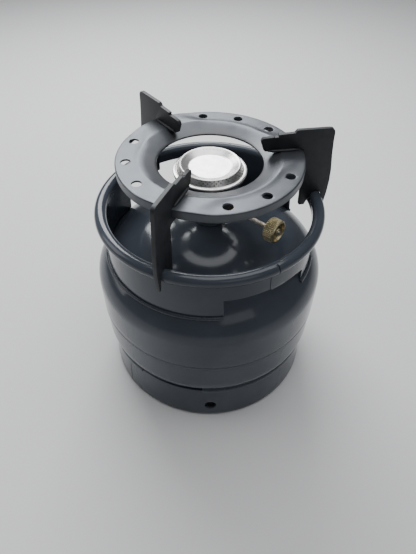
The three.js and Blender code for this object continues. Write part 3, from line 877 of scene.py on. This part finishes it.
# %% Burner head
RIDGE_R, RIDGE_Z = 30.6, HEAD_TOP
DISH_R, DISH_Z = 21.6, HEAD_TOP - 4.3
THICK = 1.3
head_outline = eased([
    (0, DISH_Z - THICK), (DISH_R + 0.6, DISH_Z - THICK, 2), (RIDGE_R - 1.2, RIDGE_Z - 1.7, 0.4),
    (RIDGE_R - 0.3, RIDGE_Z - 1.9, 0.5), (HEAD_R - 5.2, HEAD_BASE + 1.6, 0.5), (HEAD_R - 5, HEAD_BASE, 0.2),
    (HEAD_R - 0.6, HEAD_BASE, 0.9), (HEAD_R, HEAD_BASE + 0.9, 0.9), (HEAD_R - 0.3, HEAD_BASE + 2.2, 0.9),
    (HEAD_R - 2.2, HEAD_BASE + 2.4, 0.6), (HEAD_R - 3.4, HEAD_BASE + 2.0, 0.6),
    (RIDGE_R + 0.9, RIDGE_Z - 0.5, 0.6),
    (RIDGE_R, RIDGE_Z, 0.5), (RIDGE_R - 1.1, RIDGE_Z - 0.3, 0.5), (DISH_R + 1.4, DISH_Z + 0.5, 1.2),
    (DISH_R, DISH_Z, 1.0), (0, DISH_Z),
], steps=5)
ROWS = 3
PER_ROW = 48
ROW_STEP = 1.75
PORT_R = 0.72
ports = []
for row in range(ROWS):
    height = RIDGE_Z - 1.7 - ROW_STEP * row
    for i in range(PER_ROW):
        azimuth = (i + 0.5 * (row % 2)) * 360 / PER_ROW
        ports.append(prism(circle(PORT_R, (0, height), 8), facing_out(azimuth, 27.5), 10))
head = carved(spun(head_outline, 144), ports)
place(head, "burner_cap", "tank", BRIGHT, "burner_bright", ["burner_head"], sharp=28)

# %% [markdown]
# ## Control spindle, gland and knob
#
# The spindle is a threaded steel rod. Its thread is modelled: a fine cylinder whose
# surface is pushed in and out along a helix. The gland nut squeezes a packing round it.
# The knob is turned from brass, its rim rolled with a diamond knurl, and plated.

# %% Spindle
SPINDLE_LOW, THREAD_START, THREAD_END = 13.3, 40.0, 77.0
STEM_R = 2.4
THREAD_PITCH = 0.8
THREAD_DEPTH = 0.34
rows = int((THREAD_END - THREAD_START) / (THREAD_PITCH / 6))
stem_outline = (
    [(0, SPINDLE_LOW), (4.1, SPINDLE_LOW), (4.1, 25.8), (STEM_R, 26.4), (STEM_R, THREAD_START)]
    + divided((STEM_R, THREAD_START), (STEM_R, THREAD_END), rows)
    + [(STEM_R, THREAD_END), (STEM_R, 89.6), (STEM_R - 0.6, 90.3), (0, 90.3)]
)
stem = spun(stem_outline, 28)
for vert in stem.verts:
    along = vert.co.z / MM
    radius = math.hypot(vert.co.x, vert.co.y) / MM
    if THREAD_START < along < THREAD_END and radius > 1:
        phase = (along / THREAD_PITCH + math.atan2(vert.co.y, vert.co.x) / (2 * math.pi)) % 1
        depth = THREAD_DEPTH * abs(2 * phase - 1)
        vert.co.x *= (radius - depth) / radius
        vert.co.y *= (radius - depth) / radius
place(on_spindle(stem), "threaded_spindle", "control", STEEL, "spindle_steel", ["control_spindle"], sharp=70)

# %% Gland nut
NUT_R = 7.8
NUT_LOW = SIDE_BOSS_END + 0.3
nut = prism(circle(NUT_R, sides=6), Matrix.Translation((0, 0, NUT_LOW * MM)), 6.2)
trim = spun([(NUT_R - 1.2, NUT_LOW + 8), (NUT_R - 1.2, NUT_LOW + 6.3), (NUT_R + 2.4, NUT_LOW + 4.3),
             (NUT_R + 2.4, NUT_LOW + 8)], 64)
BORE_R = STEM_R + 0.3
nut_bore = spun([(0, NUT_LOW - 2), (BORE_R, NUT_LOW - 2), (BORE_R, NUT_LOW + 9), (0, NUT_LOW + 9)], 48)
nut = on_spindle(carved(nut, [trim, nut_bore], edge=0.25))
place(nut, "gland_hex", "tank", BRASS, "brass", ["gland_nut"])

# %% Knob
KNOB_R, KNOB_LOW, KNOB_HIGH = 12.4, 77.0, 90.0
knob_rows = 30
back = eased([
    (BORE_R, KNOB_LOW), (6.5, KNOB_LOW, 0.4), (8.0, KNOB_LOW + 0.7, 0.6),
    (KNOB_R - 1.4, KNOB_LOW + 0.7, 0.4), (KNOB_R - 0.5, KNOB_LOW + 1.6, 0.2),
    (KNOB_R - 0.5, KNOB_LOW + 2, 0)])[1:-1]
knurled = [(KNOB_R, z) for _, z in divided((0, KNOB_LOW + 1.8), (0, KNOB_HIGH - 1.4), knob_rows)]
face = eased([
    (KNOB_R - 0.5, KNOB_HIGH - 1.4, 0), (KNOB_R - 1.3, KNOB_HIGH - 0.1, 0.5), (9.6, KNOB_HIGH, 0.4),
    (9.2, KNOB_HIGH - 2.8, 0.6), (4.9, KNOB_HIGH - 2.8, 0.6), (4.5, KNOB_HIGH - 0.2, 0.4),
    (BORE_R, KNOB_HIGH - 0.2, 0.3), (BORE_R, KNOB_HIGH - 1, 0)])[:-1]
knob = spun([(BORE_R, KNOB_LOW)] + back + knurled + face, 288)
KNURLS = 30
KNURL_DEPTH = 0.95
for vert in knob.verts:
    radius = math.hypot(vert.co.x, vert.co.y) / MM
    if radius > KNOB_R - 0.2:
        angle = math.atan2(vert.co.y, vert.co.x) * KNURLS
        lean = vert.co.z / MM * KNURLS / KNOB_R
        groove = max(abs(math.sin((angle + lean) / 2)) ** 4, abs(math.sin((angle - lean) / 2)) ** 4)
        depth = KNURL_DEPTH * groove
        vert.co.x *= (radius - depth) / radius
        vert.co.y *= (radius - depth) / radius
place(on_spindle(knob), "knurled_knob", "control", PLATING, "knob_plating", ["control_knob"], sharp=40)

# %% [markdown]
# ## Pan support
#
# The ring is pressed from sheet: its inner edge is dished down towards the flame, its
# outer edge is turned down to stiffen it, and the three fields with the holes are
# pressed a little lower than the three lands that carry the arms. The press leaves a
# soft S-shaped shoulder between field and land.

# %% Ring
RING_IN = 54.2
RING_SHEET = 2.0
FUNNEL_R = 73.0
HOLE_CIRCLE = 84.0
RING_HOLE_R = 5.15
LAND_HALF = 11.0
FIELD_DROP = 1.5


def ease(value):
    value = min(max(value, 0.0), 1.0)
    return value * value * (3 - 2 * value)


def press(vert):
    """Lowers the fields between the arms and leaves the lands high."""
    azimuth = azimuth_of(vert.co)
    radius = math.hypot(vert.co.x, vert.co.y) / MM
    away = min(abs((azimuth - arm + 180) % 360 - 180) for arm in ARM_AZIMUTHS)
    land = LAND_HALF + 16 * (1 - ease((radius - 66) / 24))
    inside_field = ease((away - land) / 15) * ease((radius - 66) / 12)
    vert.co.z -= FIELD_DROP * inside_field * MM


inner_z = RING_TOP - 7.0
top_line = eased([(RING_IN, inner_z, 0), (FUNNEL_R - 1, RING_TOP, 9), (RING_R, RING_TOP, 1.6),
                  (RING_R, RING_SKIRT, 0)], steps=7)
bottom_line = eased([(RING_R - RING_SHEET, RING_SKIRT, 0), (RING_R - RING_SHEET, RING_TOP - RING_SHEET, 0.8),
                     (FUNNEL_R, RING_TOP - RING_SHEET, 9), (RING_IN + 0.2, inner_z - RING_SHEET, 0)], steps=7)


def filled(points, most=2.5):
    """Adds points so that no span is longer than `most`."""
    result = [points[0]]
    for start, end in zip(points, points[1:]):
        length = (Vector(end) - Vector(start)).length
        result += divided(start, end, max(1, math.ceil(length / most))) + [end]
    return result


ring = spun(filled(top_line) + filled(bottom_line), 360)
for vert in ring.verts:
    press(vert)
ring_holes = []
for arm in ARM_AZIMUTHS:
    for step in (-27.3, 0, 27.3):
        centre = around(arm + 60 + step, HOLE_CIRCLE, RING_TOP - 9)
        ring_holes.append(prism(circle(RING_HOLE_R, sides=32), Matrix.Translation(centre), 18))
ring = carved(ring, ring_holes, edge=0.3)
place(ring, "pan_ring", "pan_support", RING_COAT, "ring_coat", ["support_ring"], sharp=35)

# %% [markdown]
# ### Arms
#
# Each arm is sheared from 4 mm plate. It lies on the ring, holds the pan on its stepped
# top edge and hooks over the collar's rim with two prongs. The plate's edges are eased
# as a tumbled part's are.

# %% Arm
PLATE = 4.0
RING_GAP = 0.3


def arm_outline():
    notch = CURL + 0.5
    skirt = RING_SKIRT - RING_GAP
    under = RING_TOP - RING_SHEET - RING_GAP
    before = eased([
        (64, 307.2, 1), (52, 306.4, 2.4), (50.6, 303, 1.5), (54, 293.4, 2), (56, RING_TOP + RING_GAP, 0.5),
        (RING_R + RING_GAP, RING_TOP + RING_GAP, 0.3), (RING_R + RING_GAP, skirt, 0.3),
        (RING_R - RING_SHEET - RING_GAP, skirt, 0.3), (RING_R - RING_SHEET - RING_GAP, under, 0.3),
        (81, under, 0.5), (81, 276.5, 1.5), (99.2, 276.5, 4.5), (99.6, 240, 0), (100.4, 221.6, 1.2),
        (106.6, 221.6, 1.6), (108.8, 227.5, 1.5), (CURL_R - notch, CURL_Z, 0),
    ], steps=5)
    saddle = arc(CURL_R, CURL_Z, notch, 180, 0, 20)
    after = eased([
        (CURL_R + notch, CURL_Z, 0), (CURL_R + notch + 0.6, 224, 2), (125.8, 219.0, 1.6), (128.6, 219.6, 1.8),
        (130.2, 236, 10), (130.6, 252, 10), (129.8, 266, 12), (127.4, 284, 12), (126, 300, 6),
        (125.6, 313.2, 7),
        (87, 313.2, 1.5), (84.4, 310.2, 1), (67, 309.4, 1.5),
    ], steps=6)
    return before[:-1] + saddle + after[1:]


def arm(azimuth):
    out = around(azimuth, 1, 0) / MM
    normal = Vector((out.y, -out.x, 0))
    matrix = basis(out, Vector((0, 0, 1)), normal, normal * (-PLATE / 2) * MM)
    plate = prism(arm_outline(), matrix, PLATE)
    round_edges(plate, 0.45, 3, 50)
    return plate


for number, azimuth in enumerate(ARM_AZIMUTHS, 1):
    place(arm(azimuth), f"pan_arm_{number}", "pan_support", ARM_BLACK, "arm_black",
          [f"support_arm_{number}"], sharp=40)

# %% Arm welds


def straight_bead(azimuth, offset, start, end, width=3.4, height=2.6):
    """A short fillet of weld along the foot of an arm."""
    out = around(azimuth, 1, 0) / MM
    side = Vector((-out.y, out.x, 0))
    rows = int((end - start) / 0.4)
    bm = bmesh.new()
    bmesh.ops.create_cone(bm, cap_ends=True, cap_tris=False, segments=12, radius1=0.5, radius2=0.5,
                          depth=1, matrix=Matrix.Translation((0, 0, 0.5)))
    uprights = [edge for edge in bm.edges if abs(edge.verts[0].co.z - edge.verts[1].co.z) > 0.5]
    bmesh.ops.subdivide_edges(bm, edges=uprights, cuts=rows, use_grid_fill=False)
    for vert in bm.verts:
        t = vert.co.z
        along = start + (end - start) * t
        ripple = 1 + RIPPLE_DEPTH * (abs(math.sin(math.pi * along / RIPPLE)) - 0.5)
        taper = min(1.0, 0.35 + 4 * min(t, 1 - t))
        across = vert.co.x * width * ripple * taper
        up = vert.co.y * height * ripple * taper
        spot = out * along + side * (offset + across)
        vert.co = Vector((spot.x, spot.y, RING_TOP + 0.9 + up)) * MM
    bmesh.ops.recalc_face_normals(bm, faces=bm.faces)
    return bm


for number, azimuth in enumerate(ARM_AZIMUTHS, 1):
    sides = [straight_bead(azimuth, sign * (PLATE / 2 + 0.7), 58, 91) for sign in (-1, 1)]
    place(combined(sides), f"arm_fillet_{number}", "pan_support", ARM_BLACK, "arm_black",
          [f"support_arm_weld_{number}"], sharp=60)

# %% [markdown]
# ## Pieces that stay as the frame has them
#
# The pieces inside the valves don't show, so their shapes stay. They still get the
# finish of what they are made of.

# %% Finishes for the hidden pieces
INSIDE = {
    "spring_retainer": BRASS, "valve_spring": STEEL, "valve_poppet": BRASS, "poppet_seal": RUBBER,
    "inlet_seal": RUBBER, "depressor_pin": STEEL, "shutoff_plug": BRASS, "gland_packing": RUBBER,
    "injector": BRASS,
}
for node, finish in INSIDE.items():
    piece = frame["nodes"][node]
    piece.data.materials.clear()
    piece.data.materials.append(finish)
print("hidden pieces finished:", len(INSIDE))

# %% [markdown]
# ## Floor, light and camera
#
# A pale floor and large soft lamps show gloss and relief without hard shadows. The
# camera looks down at the front.

# %% Floor
floor = bmesh.new()
floor_place = Matrix.Translation((0, 0, cad_box[0][2] - 0.0002))
bmesh.ops.create_grid(floor, x_segments=1, y_segments=1, size=6, matrix=floor_place)
floor_mesh = mesh_from(floor, "floor")
floor_piece = bpy.data.objects.new("floor", floor_mesh)
bpy.context.scene.collection.objects.link(floor_piece)
floor_finish = bpy.data.materials.new("floor_paper")
floor_finish.use_nodes = True
floor_shader = floor_finish.node_tree.nodes["Principled BSDF"]
floor_shader.inputs["Base Color"].default_value = (0.74, 0.74, 0.74, 1)
floor_shader.inputs["Roughness"].default_value = 0.9
floor_mesh.materials.append(floor_finish)

# %% Lights


def lamp(name, place_m, target, size, power, tint=(1, 1, 1)):
    data = bpy.data.lights.new(name, "AREA")
    data.shape = "RECTANGLE"
    data.size, data.size_y = size
    data.energy = power
    data.color = tint
    item = bpy.data.objects.new(name, data)
    item.location = place_m
    item.rotation_euler = (Vector(target) - Vector(place_m)).to_track_quat("-Z", "Y").to_euler()
    bpy.context.scene.collection.objects.link(item)


middle = (0, 0, 0.18)
lamp("window_behind", (-0.30, 1.10, 1.20), middle, (1.1, 0.7), 26, (0.97, 0.99, 1.0))
lamp("window_left", (-1.3, 0.1, 0.75), middle, (0.6, 0.9), 3.5, (1.0, 0.99, 0.97))
lamp("overhead", (0.15, 0.1, 1.5), middle, (1.2, 1.2), 14, (0.98, 0.99, 1.0))
lamp("front_soft", (0.7, -1.3, 1.1), middle, (0.9, 0.5), 1.2)
world = bpy.data.worlds.new("studio")
world.use_nodes = True
world.node_tree.nodes["Background"].inputs[0].default_value = (0.93, 0.95, 1.0, 1)
world.node_tree.nodes["Background"].inputs[1].default_value = 0.17
bpy.context.scene.world = world

# %% Camera
camera_place = Vector((0, -0.4144, 0.5427))
pitch, yaw, roll = (math.radians(a) for a in (45.784, -0.141, 0.541))
forward = Vector((math.sin(yaw) * math.cos(pitch), math.cos(yaw) * math.cos(pitch), -math.sin(pitch)))
level = forward.cross(Vector((0, 0, 1))).normalized()
upright = level.cross(forward)
turned_x = math.cos(roll) * level + math.sin(roll) * upright
turned_y = math.cos(roll) * upright - math.sin(roll) * level
camera = bpy.data.objects.new("camera", bpy.data.cameras.new("camera"))
camera.matrix_world = basis(turned_x, turned_y, -forward, camera_place)
camera.data.sensor_fit = "VERTICAL"
camera.data.sensor_height = 36
camera.data.lens = 30.54
bpy.context.scene.collection.objects.link(camera)
bpy.context.scene.camera = camera

# %% Sizes and finish
print("pieces:", len(made), "faces:", sum(made.values()))
